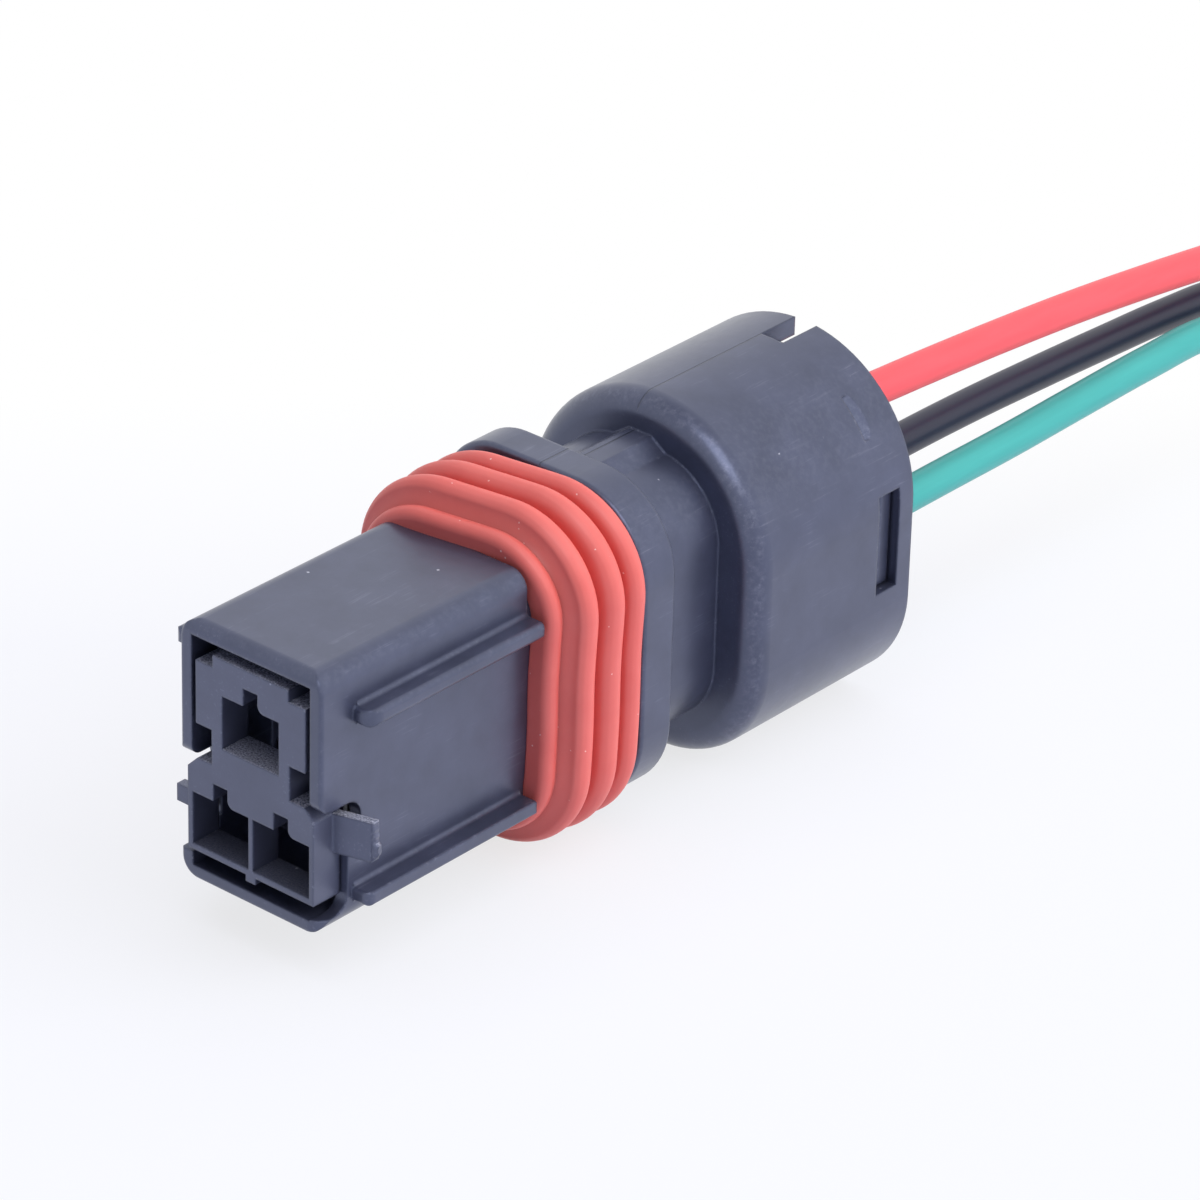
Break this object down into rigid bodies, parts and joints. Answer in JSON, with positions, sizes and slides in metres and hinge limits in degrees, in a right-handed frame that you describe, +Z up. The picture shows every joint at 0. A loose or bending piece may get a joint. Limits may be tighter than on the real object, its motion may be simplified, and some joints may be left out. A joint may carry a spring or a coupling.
{
  "type": "sealed automotive connector",
  "caption": "Dark plastic sealed plug connector with a red ribbed seal, a sliding terminal lock in its mating face and a short pigtail of coloured wires.",
  "frame": {"origin": "middle of the connector's length and width, on the surface it lies on", "axes": "+Y from the mating face to the wires, +Z up, +X across the mating face"},
  "size_m": [0.02, 0.1543, 0.0246],
  "materials": {
    "housing_plastic": "moulded satin",
    "lock_plastic": "moulded satin",
    "seal_silicone": "matte",
    "contact_metal": "tin plated",
    "spring_steel": "bright rolled",
    "copper": "drawn strand",
    "red_insulation": "extruded satin",
    "black_insulation": "extruded satin",
    "green_insulation": "extruded satin",
    "tie_plastic": "moulded"
  },
  "bodies": {
    "body": {"housing": "housing_plastic", "interface_seal": "seal_silicone", "contact_top": "contact_metal", "contact_left": "contact_metal", "contact_right": "contact_metal", "spring_top": "spring_steel", "spring_left": "spring_steel", "spring_right": "spring_steel", "strands_top": "copper", "strands_left": "copper", "strands_right": "copper", "wire_seal": "seal_silicone", "rear_cover": "housing_plastic", "red_wire": "red_insulation", "black_wire": "black_insulation", "green_wire": "green_insulation", "red_hank": "red_insulation", "black_hank": "black_insulation", "green_hank": "green_insulation", "hank_tie": "tie_plastic"},
    "lock": {"terminal_lock": "lock_plastic"}
  },
  "joints": [
    {"name": "lock_slide", "type": "slide", "parent": "body", "child": "lock", "axis": [0, -1, 0], "range_m": [0, 0.002]}
  ]
}
